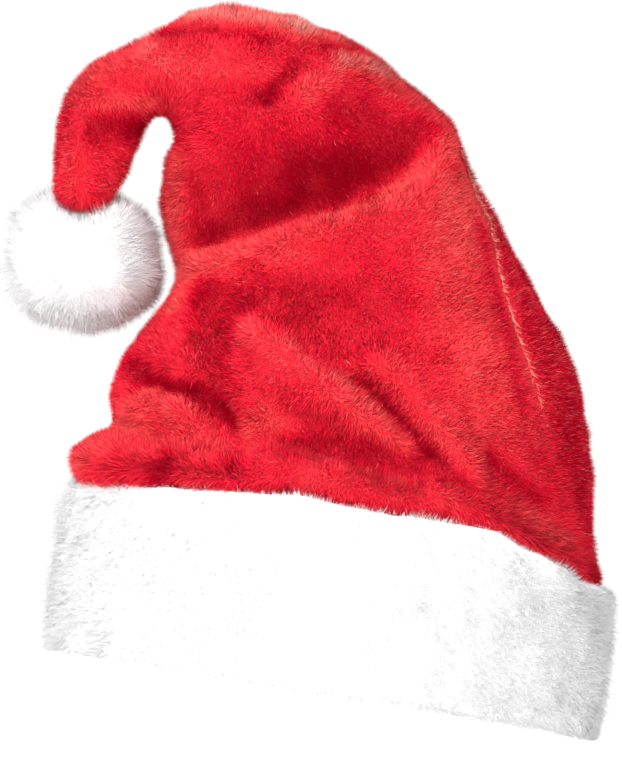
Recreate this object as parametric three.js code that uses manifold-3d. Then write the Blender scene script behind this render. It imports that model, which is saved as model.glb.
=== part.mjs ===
// A plush winter hat in millimetres, +Z up: a soft red cone that bends over and hangs down at the left,
// a wide white band round the head opening, and a white pompom at the end of the tail.
// The hat stands on the bottom of its band. X runs to the wearer's side, and -Y is the front.
import * as THREE from "three";
import { mergeVertices } from "three/addons/utils/BufferGeometryUtils.js";
import Module from "manifold-3d";

const wasm = await Module();
wasm.setup();

// Band: an oval ring of doubled plush, slightly higher in front and behind than at its sides
const bandHalfWidth = 115.5;
const bandHalfDepth = 99;
const bandSideHeight = 71;
const bandRise = 7;
const bandThickness = 12;
const bandCorner = 6;
const bandFootWidth = 6;
const furrowDepth = 1.5;
const lockRelief = 1.2;
const lockStrips = 14;
const lockRows = 6;

// Crown: how far it goes above the band's sides, its wall of plush with the pile laid down, and how far
// the loose tips of the pile stand out past that wall
const crownRise = 204;
const crownWall = 4;
const pileTips = 1.5;
const hemDepth = 18;
const hemLean = 0.5;
const seamGap = 0.4;
const foldWidth = 10;
const foldDepth = 10;
const foldEase = 5;
const pocketDepth = 32;
const lipRoll = 5;
const tailRounding = 3;

// Pompom: an upright ball that is a little wider than it is high
const pompomHalfWidth = 33.5;
const pompomHalfDepth = 31.5;
const pompomHalfHeight = 30.5;
const pompomGap = 1.5;
const lockTip = 2.8;
const lockRoot = 4.2;
const lockRadius = 7.5;
const lockLean = 0.25;
const lockCount = 48;

// How finely each surface is faceted
const crownSides = 56;
const tailSides = 32;
const liningSides = 40;
const bandSides = 56;
const pompomDetail = 2;
const socketSides = 16;
const lockSides = 5;
const frontShare = 0.625;

// The pompom hangs beside the crown, so its size carries the tail outwards. crownSideAtPompom is a share of
// bandHalfWidth. The tail ends inside the pompom, above and before its middle by shares of its half sizes.
const crownSideAtPompom = 0.748;
const tailEndAbove = 0.62;
const tailEndBefore = 0.5;
const tailReach = pompomHalfWidth + pompomGap;

// The crown's sections, from the band to the end of the tail. left and right are the two ends of each
// section in the front view, front and back its half depths, and shift moves it back.
// Widths are shares of bandHalfWidth, heights of crownRise above bandSideHeight, depths of bandHalfDepth.
// carried is the share of the tail's reach that moves the section out to the pompom.
// steps is the number of facets up to the next section, where the pocket has no rows of its own.
const sections = [
  { left: -0.98, leftUp: 0.06, right: 0.905, rightUp: 0.034, front: 0.93, back: 0.93, shift: 0, carried: 0, steps: 2 },
  { left: -0.955, leftUp: 0.093, right: 0.87, rightUp: 0.083, front: 0.91, back: 0.91, shift: 0, carried: 0, steps: 1 },
  { left: -0.862, leftUp: 0.113, right: 0.853, rightUp: 0.132, front: 0.87, back: 0.88, shift: 0, carried: 0, steps: 2 },
  { left: -0.883, leftUp: 0.147, right: 0.836, rightUp: 0.181, front: 0.84, back: 0.85, shift: 0, carried: 0, steps: 2 },
  { left: -0.9, leftUp: 0.201, right: 0.814, rightUp: 0.235, front: 0.81, back: 0.81, shift: 0, carried: 0, steps: 2 },
  { left: -0.883, leftUp: 0.255, right: 0.788, rightUp: 0.294, front: 0.78, back: 0.78, shift: 0, carried: 0, steps: 2 },
  { left: -0.836, leftUp: 0.304, right: 0.745, rightUp: 0.353, front: 0.75, back: 0.75, shift: 0, carried: 0, steps: 2 },
  { left: -0.788, leftUp: 0.353, right: 0.675, rightUp: 0.417, front: 0.72, back: 0.72, shift: 0, carried: 0, steps: 2 },
  { left: -0.758, leftUp: 0.397, right: 0.572, rightUp: 0.5, front: 0.68, back: 0.67, shift: 0, carried: 0, steps: 2 },
  { left: -0.745, leftUp: 0.431, right: 0.433, rightUp: 0.603, front: 0.63, back: 0.61, shift: 0, carried: 0, steps: 1 },
  { left: -0.745, leftUp: 0.451, right: 0.312, rightUp: 0.686, front: 0.59, back: 0.58, shift: 0, carried: 0, steps: 1 },
  { left: -0.762, leftUp: 0.471, right: 0.216, rightUp: 0.76, front: 0.56, back: 0.56, shift: 0, carried: 0, steps: 1 },
  { left: -0.788, leftUp: 0.51, right: 0.147, rightUp: 0.828, front: 0.54, back: 0.53, shift: 0.02, carried: 0, steps: 1 },
  { left: -0.814, leftUp: 0.564, right: 0.034, rightUp: 0.877, front: 0.52, back: 0.5, shift: 0.03, carried: 0, steps: 1 },
  { left: -0.84, leftUp: 0.618, right: -0.1, rightUp: 0.932, front: 0.49, back: 0.48, shift: 0.03, carried: 0, steps: 1 },
  { left: -0.849, leftUp: 0.667, right: -0.28, rightUp: 0.98, front: 0.46, back: 0.46, shift: 0.02, carried: 0, steps: 1 },
  { left: -0.819, leftUp: 0.701, right: -0.49, rightUp: 0.997, front: 0.43, back: 0.44, shift: 0, carried: 0, steps: 2 },
  { left: -0.819, leftUp: 0.735, right: -0.663, rightUp: 1, front: 0.39, back: 0.41, shift: -0.02, carried: 0.1, steps: 2 },
  { left: -0.771, leftUp: 0.755, right: -0.745, rightUp: 0.968, front: 0.35, back: 0.36, shift: -0.04, carried: 0.4, steps: 2 },
  { left: -0.714, leftUp: 0.75, right: -0.801, rightUp: 0.9, front: 0.31, back: 0.31, shift: -0.06, carried: 0.7, steps: 2 },
  { left: -0.671, leftUp: 0.725, right: -0.861, rightUp: 0.855, front: 0.28, back: 0.27, shift: -0.08, carried: 0.9, steps: 2 },
  { left: -0.645, leftUp: 0.696, right: -0.909, rightUp: 0.799, front: 0.25, back: 0.24, shift: -0.1, carried: 1, steps: 2 },
  { left: -0.654, leftUp: 0.662, right: -0.944, rightUp: 0.73, front: 0.22, back: 0.21, shift: -0.11, carried: 1, steps: 2 },
  { left: -0.667, leftUp: 0.627, right: -0.948, rightUp: 0.667, front: 0.19, back: 0.18, shift: -0.12, carried: 1, steps: 2 },
  { left: -0.688, leftUp: 0.593, right: -0.935, rightUp: 0.613, front: 0.16, back: 0.15, shift: -0.13, carried: 1, steps: 1 },
  { left: -0.71, leftUp: 0.564, right: -0.922, rightUp: 0.574, front: 0.14, back: 0.13, shift: -0.14, carried: 1, steps: 1 },
  { left: -0.735, leftUp: 0.542, right: -0.9, rightUp: 0.544, front: 0.11, back: 0.1, shift: -0.14, carried: 1, steps: 1 },
];
const tailFrom = 17;
const socketFrom = 22;
const liningEnd = 24;
const riseFadesBy = 5;
const rowGap = 0.2;

// The pocket below the bend, in rows that follow its lip. past is how many sections a row lies past the lip,
// back a share of pocketDepth, and up a share of lipRoll along the crown.
const lipAt = 10;
const pocketOutside = [
  { past: -2, back: 0, up: 0 },
  { past: -1, back: -0.06, up: 0.15 },
  { past: -0.4, back: -0.11, up: 0.5 },
  { past: -0.05, back: -0.06, up: 0.9 },
  { past: 0.08, back: 0.12, up: 0.9 },
  { past: 0.22, back: 0.45, up: 0.15 },
  { past: 0.45, back: 0.85, up: -0.5 },
  { past: 0.8, back: 1, up: -0.4 },
  { past: 1.4, back: 0.9, up: -0.1 },
  { past: 2.1, back: 0.62, up: 0 },
  { past: 2.9, back: 0.3, up: 0 },
  { past: 3.6, back: 0.1, up: 0 },
  { past: 4.2, back: 0, up: 0 },
];
const pocketInside = [
  { past: -2, back: 0, up: 0 },
  { past: -1, back: 0.1, up: 0 },
  { past: -0.5, back: 0.35, up: -0.1 },
  { past: 0, back: 0.82, up: -0.6 },
  { past: 0.4, back: 1.1, up: -0.35 },
  { past: 1.2, back: 1.02, up: 0 },
  { past: 2, back: 0.8, up: 0 },
  { past: 3, back: 0.4, up: 0 },
  { past: 4.2, back: 0.05, up: 0 },
];

// How deep the pocket is across the front, from the left side at -1 to the right side at 1,
// and by how many sections its lip curls up there
const pocketAcross = [
  { across: -1, deep: 0.3, curl: 0 },
  { across: -0.8, deep: 0.6, curl: 0 },
  { across: -0.5, deep: 0.9, curl: 0 },
  { across: 0, deep: 1, curl: 0 },
  { across: 0.35, deep: 0.95, curl: 0.1 },
  { across: 0.6, deep: 0.65, curl: 0.4 },
  { across: 0.8, deep: 0.15, curl: 0.9 },
  { across: 1, deep: 0, curl: 0.9 },
];
const curlFades = 3.5;
const pocketFades = [-0.3, 0.4];

// Soft folds, each along a straight line on one side. A front or back fold is placed by its width and
// height in the front view, and a top fold by its width and depth from above.
// width and depth are shares of foldWidth and foldDepth, and a negative depth is a ridge.
const folds = [
  { side: "front", fromX: -0.93, fromUp: 0.1, toX: -0.53, toUp: 0.13, width: 0.8, depth: 0.5 },
  { side: "front", fromX: -0.9, fromUp: 0.2, toX: -0.6, toUp: 0.17, width: 0.9, depth: 0.9 },
  { side: "front", fromX: -0.6, fromUp: 0.17, toX: -0.44, toUp: 0.13, width: 0.9, depth: 1.1 },
  { side: "front", fromX: -0.39, fromUp: 0.18, toX: -0.17, toUp: 0.16, width: 1, depth: 0.8 },
  { side: "front", fromX: -0.17, fromUp: 0.16, toX: 0.15, toUp: 0.13, width: 1, depth: 0.8 },
  { side: "front", fromX: -0.74, fromUp: 0.14, toX: -0.58, toUp: 0.13, width: 0.9, depth: -0.4 },
  { side: "front", fromX: -0.3, fromUp: 0.09, toX: 0.36, toUp: 0.07, width: 1, depth: -0.4 },
  { side: "front", fromX: -0.56, fromUp: 0.33, toX: -0.54, toUp: 0.17, width: 1, depth: 0.6 },
  { side: "front", fromX: -0.41, fromUp: 0.34, toX: -0.17, toUp: 0.24, width: 1, depth: -0.5 },
  { side: "front", fromX: -0.17, fromUp: 0.24, toX: 0.23, toUp: 0.13, width: 1, depth: -0.5 },
  { side: "front", fromX: -0.05, fromUp: 0.27, toX: 0.29, toUp: 0.14, width: 0.7, depth: 0.6 },
  { side: "front", fromX: 0.01, fromUp: 0.31, toX: 0.38, toUp: 0.15, width: 0.9, depth: -0.5 },
  { side: "front", fromX: 0.43, fromUp: 0.16, toX: 0.66, toUp: 0.09, width: 0.9, depth: 0.4 },
  { side: "front", fromX: -0.51, fromUp: 0.42, toX: -0.17, toUp: 0.38, width: 1.8, depth: 0.5 },
  { side: "front", fromX: -0.48, fromUp: 0.87, toX: -0.54, toUp: 0.81, width: 0.9, depth: 0.4 },
  { side: "front", fromX: -0.39, fromUp: 0.87, toX: -0.52, toUp: 0.78, width: 0.9, depth: -0.3 },
  { side: "front", fromX: -1.1, fromUp: 0.74, toX: -1.05, toUp: 0.65, width: 0.8, depth: 0.5 },
  { side: "top", fromX: -1.05, fromUp: -0.06, toX: -0.63, toUp: -0.06, width: 0.9, depth: 0.8 },
  { side: "top", fromX: -0.41, fromUp: -0.12, toX: -0.19, toUp: 0.08, width: 1.2, depth: 0.25 },
  { side: "back", fromX: -0.95, fromUp: 0.12, toX: -0.48, toUp: 0.14, width: 1, depth: 0.6 },
  { side: "back", fromX: -0.48, fromUp: 0.16, toX: 0.34, toUp: 0.13, width: 1.1, depth: 0.8 },
  { side: "back", fromX: -0.43, fromUp: 0.34, toX: 0.44, toUp: 0.2, width: 1.1, depth: 0.6 },
  { side: "back", fromX: -0.8, fromUp: 0.44, toX: -0.3, toUp: 0.59, width: 1.2, depth: 1 },
  { side: "back", fromX: -0.3, fromUp: 0.59, toX: 0.04, toUp: 0.74, width: 1.1, depth: 0.7 },
  { side: "back", fromX: -0.26, fromUp: 0.44, toX: 0.38, toUp: 0.39, width: 2, depth: 0.5 },
  { side: "back", fromX: 0.52, fromUp: 0.24, toX: 0.74, toUp: 0.1, width: 1, depth: 0.4 },
  { side: "back", fromX: -1.13, fromUp: 0.75, toX: -1.05, toUp: 0.66, width: 0.9, depth: 0.4 },
];

const smooth = (from, to, value) => THREE.MathUtils.smoothstep(value, from, to);
const heightOf = (share) => bandSideHeight + share * crownRise;
const bandTop = (angle) => bandSideHeight + bandRise * Math.sin(angle) ** 2;

// The columns of a table between its rows: the first column is the one that is looked up
function between(table, value) {
  const [key] = Object.keys(table[0]);
  const last = table.length - 1;
  const after = table.findIndex((row) => row[key] > value);
  if (after === 0) return table[0];
  if (after < 0) return table[last];
  const [low, high] = [table[after - 1], table[after]];
  const t = (value - low[key]) / (high[key] - low[key]);
  return Object.fromEntries(Object.keys(low).map((k) => [k, THREE.MathUtils.lerp(low[k], high[k], t)]));
}

// Points round a ring, of which the share front lies on its front half
function ring(sides, pointAt, front = 0.5) {
  return Array.from({ length: sides }, (_, side) => {
    const share = side / sides;
    const turn = share < front ? share / front : 1 + (share - front) / (1 - front);
    return pointAt(turn * Math.PI);
  });
}

// A closed triangle mesh from rings of points, which run from one end to the other. Each end is closed
// by an apex, or else the last ring is joined to the first.
function bodyOfRings(rings, ends) {
  const points = rings.flat().concat(ends ?? []);
  const starts = rings.map((_, row) => rings.slice(0, row).flat().length);
  const faces = [];
  const joined = ends ? rings.length - 1 : rings.length;
  for (let row = 0; row < joined; row++) {
    const next = (row + 1) % rings.length;
    const [here, there] = [rings[row].length, rings[next].length];
    let [i, j] = [0, 0];
    while (i < here || j < there) {
      const from = starts[row] + (i % here);
      const to = starts[next] + (j % there);
      const along = j >= there || (i < here && (i + 1) * there < (j + 1) * here);
      if (along) i++;
      else j++;
      faces.push(from, to, along ? starts[row] + (i % here) : starts[next] + (j % there));
    }
  }
  if (ends) {
    const last = starts.at(-1);
    const apex = points.length - 2;
    rings[0].forEach((_, side) => faces.push(apex, side, (side + 1) % rings[0].length));
    rings.at(-1).forEach((_, side) => faces.push(apex + 1, last + ((side + 1) % rings.at(-1).length), last + side));
  }
  return new THREE.BufferGeometry().setFromPoints(points).setIndex(faces);
}

// How far a place in a plane is from the straight line between two others
function awayFrom([a, b], x, y) {
  const [dx, dy] = [b.x - a.x, b.y - a.y];
  const along = ((x - a.x) * dx + (y - a.y) * dy) / (dx ** 2 + dy ** 2);
  const t = THREE.MathUtils.clamp(along, 0, 1);
  return Math.hypot(x - a.x - t * dx, y - a.y - t * dy);
}

// Crown
const sectionX = (share, carried) => share * bandHalfWidth - carried * tailReach;
const leftLine = new THREE.CatmullRomCurve3(
  sections.map((s) => new THREE.Vector3(sectionX(s.left, s.carried), 0, heightOf(s.leftUp))),
  false,
  "catmullrom",
);
const rightLine = new THREE.CatmullRomCurve3(
  sections.map((s) => new THREE.Vector3(sectionX(s.right, s.carried), 0, heightOf(s.rightUp))),
  false,
  "catmullrom",
);
const depthLine = new THREE.CatmullRomCurve3(
  sections.map((s) => new THREE.Vector3(s.front, s.back, s.shift).multiplyScalar(bandHalfDepth)),
  false,
  "catmullrom",
);

// A point of the plain crown, before its folds: at is the section and angle goes round it
function plainCrown(at, angle) {
  const t = THREE.MathUtils.clamp(at / (sections.length - 1), 0, 1);
  const left = leftLine.getPoint(t);
  const right = rightLine.getPoint(t);
  const depth = depthLine.getPoint(t);
  const point = left.clone().add(right).divideScalar(2);
  point.addScaledVector(right.sub(left).divideScalar(2), Math.cos(angle));
  point.y = depth.z - (Math.sin(angle) > 0 ? depth.x : depth.y) * Math.sin(angle);
  point.z += bandRise * Math.sin(angle) ** 2 * (1 - smooth(0, riseFadesBy, at));
  return point;
}

// The crown's own directions at a point: upwards along it, and outwards from it
function directionsAt(at, angle) {
  const step = 0.02;
  const up = plainCrown(at + step, angle).sub(plainCrown(at - step, angle)).normalize();
  const round = plainCrown(at, angle + step).sub(plainCrown(at, angle - step));
  return { up, outward: up.clone().cross(round).normalize() };
}

const foldLines = folds.map((f) => {
  const up = f.side === "top" ? (share) => share * bandHalfDepth : heightOf;
  return [
    { x: f.fromX * bandHalfWidth, y: up(f.fromUp) },
    { x: f.toX * bandHalfWidth, y: up(f.toUp) },
  ];
});

// From where to where a fold fades in: by how far the surface faces its side, and a top fold also by height
const sideFades = [0.05, 0.6];
const crestFades = [0.4, 0.9];
const crestHeights = [0.4, 0.7];

// How far the soft folds push a point inwards. A top fold stays on the crest, and a front or back fold
// runs on round the sides. Where folds meet, the deepest one leads, as the cube root of a sum of cubes does.
// The inside follows their valleys alone, more widely.
function foldAt(point, outward, inside) {
  const weights = {
    front: smooth(...sideFades, -outward.y),
    back: smooth(...sideFades, outward.y),
    top: smooth(...crestFades, outward.z) * smooth(...crestHeights, (point.z - bandSideHeight) / crownRise),
  };
  let cubes = 0;
  folds.forEach((f, i) => {
    const weight = weights[f.side];
    if (weight === 0 || (inside && f.depth < 0)) return;
    const width = f.width * foldWidth + (inside ? foldEase : 0);
    const off = awayFrom(foldLines[i], point.x, f.side === "top" ? point.y : point.z);
    cubes += (weight * f.depth * foldDepth * Math.exp(-((off / width) ** 2))) ** 3;
  });
  return Math.cbrt(cubes);
}

// A point of the crown with its folds and its pocket, on the outside or on the inside of its wall
function crownPoint(row, angle, inside) {
  const inset = inside ? pileTips + crownWall : pileTips;
  const past = row - lipAt;
  const facing = smooth(...pocketFades, Math.sin(angle));
  const { deep, curl } = between(pocketAcross, Math.cos(angle));
  const at = row + facing * curl * (1 - smooth(0, curlFades, Math.abs(past)));
  const { up, outward } = directionsAt(at, angle);
  const point = plainCrown(at, angle);
  const pocket = between(inside ? pocketInside : pocketOutside, past);
  const folded = foldAt(point, outward, inside);
  point.addScaledVector(outward, -inset - folded);
  point.addScaledVector(up, facing * deep * pocket.up * lipRoll);
  point.y += facing * deep * pocket.back * pocketDepth;
  return point;
}

// The hem is tucked inside the band and comes out over its rounded top, further on the left, where the
// crown slumps. out is measured from the band's inner face and up from the band's top.
const hem = [
  { out: -seamGap, up: -hemDepth },
  { out: -seamGap, up: -bandCorner - seamGap },
  { out: 0.13 * bandCorner, up: -0.08 * bandCorner },
  { out: 0.8 * bandCorner, up: 0.16 * bandCorner },
  { out: 1.15 * bandCorner, up: 0.22 * bandCorner },
  { out: 1.1 * bandCorner, up: 0.6 * bandCorner },
];
const hemInside = [{ out: -seamGap - crownWall, up: -hemDepth }, { out: -seamGap - crownWall, up: 0 }];

function hemPoint(row, angle) {
  const out = row.out > 0 ? row.out * (1 - hemLean * Math.cos(angle)) : row.out;
  return new THREE.Vector3(
    (bandHalfWidth - bandThickness + out) * Math.cos(angle),
    -(bandHalfDepth - bandThickness + out) * Math.sin(angle),
    bandTop(angle) + row.up,
  );
}

// The rows of the outside: by the sections' steps, and by the pocket's own rows round its lip
function outsideRows() {
  const first = lipAt + pocketOutside[0].past;
  const last = lipAt + pocketOutside.at(-1).past;
  const stepped = sections.flatMap((s, i) => Array.from({ length: s.steps }, (_, k) => i + k / s.steps));
  const clear = stepped.filter((at) => at < first - rowGap || at > last + rowGap);
  return [...clear, ...pocketOutside.map((p) => lipAt + p.past), sections.length - 1].sort((a, b) => a - b);
}

function insideRows() {
  const first = lipAt + pocketInside[0].past;
  const last = lipAt + pocketInside.at(-1).past;
  const clear = sections.map((_, i) => i).filter((at) => (at > 0 && at < first) || (at > last && at <= liningEnd));
  return [...clear, ...pocketInside.map((p) => lipAt + p.past)].sort((a, b) => a - b);
}

function crownGeometry() {
  const sidesAt = (at) => (at < tailFrom ? crownSides : tailSides);
  const crownRing = (at, inside) =>
    ring(inside ? liningSides : sidesAt(at), (angle) => crownPoint(at, angle, inside), frontShare);
  const hemRing = (row) => ring(crownSides, (angle) => hemPoint(row, angle), frontShare);
  const outside = outsideRows().map((at) => crownRing(at, false));
  const inside = insideRows().map((at) => crownRing(at, true));
  const rings = [...inside.toReversed(), ...hemInside.toReversed().map(hemRing), ...hem.map(hemRing), ...outside];
  return bodyOfRings(rings, [middleOf(rings[0]), pastEnd(outside, tailRounding)]);
}

// The place that lies a little way past the end of a row of rings
function pastEnd(rings, way) {
  const [before, end] = [middleOf(rings.at(-2)), middleOf(rings.at(-1))];
  return end.clone().addScaledVector(end.clone().sub(before).normalize(), way);
}

function middleOf(points) {
  return points.reduce((sum, p) => sum.add(p), new THREE.Vector3()).divideScalar(points.length);
}

// Band
// The pile's relief on the band: wide soft furrows, and upright strips of locks that wander a little
const furrows = [
  { waves: 3, start: 1, share: 0.6 },
  { waves: 5, start: 2, share: 0.4 },
];
const stripWander = 1.3;

function reliefAt(angle, row) {
  const furrow = furrows.reduce((sum, f) => sum + f.share * Math.sin(f.waves * angle + f.start), 0);
  const strip = Math.cos(lockStrips * angle + Math.sin(stripWander * row));
  return -furrowDepth * (0.5 + 0.5 * furrow) - lockRelief * (0.5 - 0.5 * strip);
}

function bandGeometry() {
  const half = Math.SQRT1_2 * bandCorner;
  const foot = (bandThickness - bandFootWidth) / 2;
  const full = bandThickness;
  // The profile's points, out from the inner face: below, by height; on the outside, by rows of locks;
  // and above, by how far they are below the top
  const profile = [
    { out: foot, up: 0 },
    { out: foot + bandFootWidth, up: 0 },
    ...Array.from({ length: lockRows }, (_, row) => ({ out: full, row })),
    { out: full - bandCorner + half, down: bandCorner - half },
    { out: full - bandCorner, down: 0 },
    { out: full - bandCorner - half, down: bandCorner - half },
    { out: 0, down: bandCorner },
    { out: 0, down: hemDepth + bandCorner },
    { out: 0, up: foot },
  ];
  const rings = profile.map(({ out, up, down, row }) =>
    ring(bandSides, (angle) => {
      const top = bandTop(angle);
      const rowUp = foot + ((row + 0.25) / lockRows) * (top - bandCorner - foot);
      const relief = row === undefined ? 0 : reliefAt(angle, row);
      return new THREE.Vector3(
        (bandHalfWidth - full + out + relief) * Math.cos(angle),
        -(bandHalfDepth - full + out + relief) * Math.sin(angle),
        row === undefined ? (up ?? top - down) : rowUp,
      );
    }),
  );
  return bodyOfRings(rings, null);
}

// Solids are joined and cut by manifold-3d
function solidOf(geometry) {
  const plain = geometry.clone().deleteAttribute("normal").deleteAttribute("uv");
  const merged = mergeVertices(plain, 1e-4);
  const vertProperties = merged.attributes.position.array;
  return new wasm.Manifold(
    new wasm.Mesh({ numProp: 3, vertProperties, triVerts: new Uint32Array(merged.index.array) }),
  );
}

function geometryOf(solid) {
  const { vertProperties, triVerts } = solid.getMesh();
  return new THREE.BufferGeometry()
    .setAttribute("position", new THREE.BufferAttribute(new Float32Array(vertProperties), 3))
    .setIndex(new THREE.BufferAttribute(new Uint32Array(triVerts), 1));
}

// Pompom
const tailEnd = sections.at(-1);
const pompomCentre = new THREE.Vector3(
  -crownSideAtPompom * bandHalfWidth - tailReach,
  tailEnd.shift * bandHalfDepth + tailEndBefore * pompomHalfDepth,
  heightOf(tailEnd.leftUp) - tailEndAbove * pompomHalfHeight,
);

// One lock of fur: a blunt drop with its root in the core, which stands out from it and leans a little.
// The locks are spread over the ball by the golden angle.
function lockGeometry(index) {
  const golden = Math.PI * (3 - Math.sqrt(5));
  const height = 1 - (2 * (index + 0.5)) / lockCount;
  const radius = Math.sqrt(1 - height ** 2);
  const out = new THREE.Vector3(Math.cos(golden * index) * radius, Math.sin(golden * index) * radius, height);
  const outline = [
    new THREE.Vector2(0, -lockRoot),
    new THREE.Vector2(lockRadius, -lockRoot),
    new THREE.Vector2(0.65 * lockRadius, 0.5 * lockTip),
    new THREE.Vector2(0, lockTip),
  ];
  const lean = new THREE.Vector3(Math.sin(3 * index), Math.cos(5 * index), Math.sin(7 * index));
  const turn = new THREE.Quaternion().setFromUnitVectors(
    new THREE.Vector3(0, 1, 0),
    out.clone().addScaledVector(lean, lockLean).normalize(),
  );
  const core = coreHalf();
  return new THREE.LatheGeometry(outline, lockSides)
    .applyQuaternion(turn)
    .translate(out.x * core.x, out.y * core.y, out.z * core.z);
}

// The core is the ball without the part of its locks that stands out
function coreHalf() {
  return new THREE.Vector3(pompomHalfWidth, pompomHalfDepth, pompomHalfHeight).subScalar(lockTip);
}

// The end of the tail with its clearance all round, which the pompom is cut by
function tailSocket() {
  const rows = sections.map((_, i) => i).slice(socketFrom);
  const roomAt = (at, angle) =>
    plainCrown(at, angle).addScaledVector(directionsAt(at, angle).outward, seamGap - pileTips);
  const rings = rows.map((at) => ring(socketSides, (angle) => roomAt(at, angle)));
  return bodyOfRings(rings, [middleOf(rings[0]), pastEnd(rings, tailRounding + seamGap)]);
}

function pompomGeometry() {
  const half = coreHalf();
  const core = new THREE.IcosahedronGeometry(1, pompomDetail).scale(half.x, half.y, half.z);
  let ball = solidOf(core);
  for (let index = 0; index < lockCount; index++) ball = ball.add(solidOf(lockGeometry(index)));
  const placed = ball.translate([pompomCentre.x, pompomCentre.y, pompomCentre.z]);
  return geometryOf(placed.subtract(solidOf(tailSocket())));
}

function plush(color, roughness) {
  return new THREE.MeshStandardMaterial({ color, roughness, metalness: 0 });
}

function piece(name, geometry, material) {
  const mesh = new THREE.Mesh(geometry, material);
  mesh.name = name;
  return mesh;
}

const redPlush = plush(0xc8102c, 0.9);
const whitePlush = plush(0xf4f2f0, 0.95);

const hat = new THREE.Group();
hat.add(
  piece("crown", crownGeometry(), redPlush),
  piece("band", bandGeometry(), whitePlush),
  piece("pompom", pompomGeometry(), whitePlush),
);

// The frame's origin is the middle of the whole hat's box, on the floor
const box = new THREE.Box3().setFromObject(hat);
const middle = box.getCenter(new THREE.Vector3());
hat.position.set(-middle.x, -middle.y, -box.min.z);

export default hat;
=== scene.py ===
# %% [markdown]
# A plush winter hat: a red cone that has bent over so that its tail hangs at the left, a wide white band and
# a white pompom. The solids give every form its place and size. What they can't give is the pile, the coat
# of fine upright fibres that makes plush look soft. This script makes the cloth under the pile as smooth
# meshes that follow the solids, and then plants the pile on them, one thin triangle for each tuft of fibres.
#
# A particle system would be the usual way in Blender, but its hairs aren't part of a mesh, and an exported
# model would lose them. Joined meshes keep the pile as real geometry.

# %% Load the frame
import itertools
import math
from collections import namedtuple

import bmesh
import bpy
import numpy as np
from mathutils import Matrix, Vector


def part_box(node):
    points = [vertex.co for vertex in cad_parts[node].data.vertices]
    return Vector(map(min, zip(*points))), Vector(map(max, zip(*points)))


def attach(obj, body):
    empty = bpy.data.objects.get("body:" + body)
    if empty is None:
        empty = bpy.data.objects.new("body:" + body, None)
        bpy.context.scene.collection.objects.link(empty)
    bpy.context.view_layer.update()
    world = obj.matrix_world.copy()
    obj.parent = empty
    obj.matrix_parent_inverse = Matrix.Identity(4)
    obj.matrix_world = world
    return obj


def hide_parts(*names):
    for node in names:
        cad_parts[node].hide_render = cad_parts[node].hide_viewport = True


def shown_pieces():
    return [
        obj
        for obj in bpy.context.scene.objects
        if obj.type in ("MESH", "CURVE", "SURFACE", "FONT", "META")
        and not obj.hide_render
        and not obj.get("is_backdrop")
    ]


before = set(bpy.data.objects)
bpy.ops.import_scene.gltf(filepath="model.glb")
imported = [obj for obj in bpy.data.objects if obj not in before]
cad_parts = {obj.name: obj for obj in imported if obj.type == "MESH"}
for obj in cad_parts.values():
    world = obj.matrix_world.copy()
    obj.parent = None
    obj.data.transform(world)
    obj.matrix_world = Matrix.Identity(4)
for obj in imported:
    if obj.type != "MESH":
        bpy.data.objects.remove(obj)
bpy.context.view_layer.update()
MM = 0.001
print("solids:", sorted(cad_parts))

# %% [markdown]
# Every place on the hat is measured from the middle of its rim, on the floor. In the front view x runs to
# the right and z up, so a fold or a seam can be written down as it is seen. The frame's own origin lies
# further to the left, because the tail and the pompom count in its box.

# %% The rim's middle, and the sizes that the solids give
band_low, band_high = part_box("band")
rim = Vector(((band_low.x + band_high.x) / 2, (band_low.y + band_high.y) / 2, 0))
band_half = (band_high - band_low) / 2


def at_rim(x, z):
    """A place in the frame from millimetres right of the rim's middle and above the floor."""
    return rim + Vector((x, 0, z)) * MM


print("rim's middle:", [round(v, 4) for v in rim], "band:", [round(v, 4) for v in band_half * 2])

# %% [markdown]
# The camera stands just above the floor and two and a half metres in front, so the band's edges stay nearly
# straight. The hat leans in the picture by a few degrees, which is the camera's roll: the hat itself stands
# flat on its band. The lens is worked out from the picture's height in pixels and the size of one pixel.

# %% Camera
VIEW_HEIGHT = 764
MM_PER_PIXEL = 0.409
camera_roll = math.radians(9.4)
camera_away = 2.5
camera_height = 0.012
target = at_rim(-24.2, 127)

eye = Vector((target.x, -camera_away, camera_height))
forward = (target - eye).normalized()
level_right = forward.cross(Vector((0, 0, 1))).normalized()
level_up = level_right.cross(forward)
right = level_right * math.cos(camera_roll) + level_up * math.sin(camera_roll)
up = right.cross(forward)

lens = bpy.data.cameras.new("camera")
lens.sensor_width = 36
lens.sensor_fit = "AUTO"
lens.lens = lens.sensor_width * (target - eye).length / (VIEW_HEIGHT * MM_PER_PIXEL * MM)
lens.clip_end = 100
camera = bpy.data.objects.new("camera", lens)
camera.matrix_world = Matrix.Translation(eye) @ Matrix((right, up, -forward)).transposed().to_4x4()
bpy.context.collection.objects.link(camera)
bpy.context.scene.camera = camera
print("lens:", round(lens.lens, 1), "mm")

# %% [markdown]
# A material is a tree of nodes. Written out link by link it is hard to read, so two small classes turn it
# into ordinary sums. A Channel is one varying number: adding, multiplying or clamping it adds a Math node.
# A Finish is a material that is being made, and adds any other node from its type, settings and inputs.

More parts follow.
